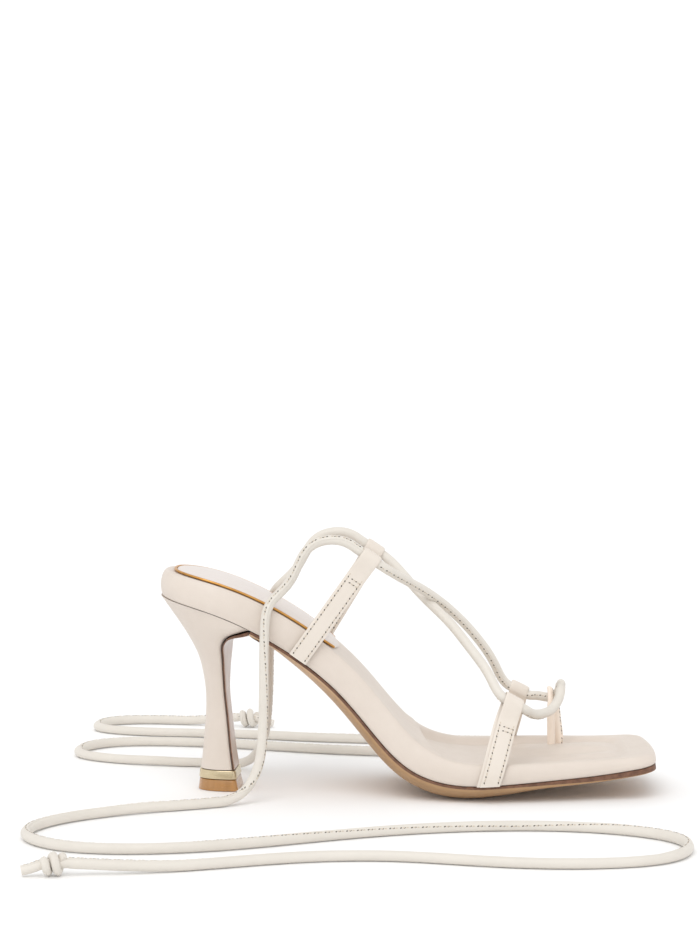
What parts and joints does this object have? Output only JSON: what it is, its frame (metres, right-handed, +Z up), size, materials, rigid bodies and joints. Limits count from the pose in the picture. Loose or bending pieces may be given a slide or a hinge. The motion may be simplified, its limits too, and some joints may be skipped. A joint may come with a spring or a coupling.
{
  "type": "heeled lace-up sandal",
  "caption": "Right-foot dress sandal with a square toe, padded footbed, flared high heel, looped side straps, toe post and a long rolled lace whose free ties lie on the floor.",
  "frame": {"origin": "middle of the shoe's length and width without its ties, on the floor that it stands on", "axes": "+X to the toe, +Y to the inner (medial) side of the foot, +Z up"},
  "size_m": [0.2756, 0.3546, 0.1177],
  "materials": {
    "outsole": "smooth brown, semi-matt",
    "cover_leather": "nude, soft sheen",
    "sock_leather": "off-white, pearl sheen",
    "gilt_foil": "gilt foil",
    "band_metal": "polished pale gold",
    "lift_plastic": "caramel gloss",
    "strap_leather": "nude, soft sheen",
    "cord_leather": "rolled, soft sheen"
  },
  "bodies": {
    "root": {"outsole": "outsole", "footbed": "cover_leather", "heel_sock": "sock_leather", "sock_piping": "gilt_foil", "heel": "cover_leather", "heel_breast_cover": "outsole", "heel_band": "band_metal", "top_lift": "lift_plastic", "strap_front_lateral": "strap_leather", "strap_front_medial": "strap_leather", "strap_rear_lateral": "strap_leather", "strap_rear_medial": "strap_leather", "toe_post": "cord_leather", "lace": "cord_leather", "tie_lateral": "cord_leather", "tie_medial": "cord_leather", "tie_knot_lateral": "cord_leather", "tie_knot_medial": "cord_leather"}
  },
  "joints": []
}
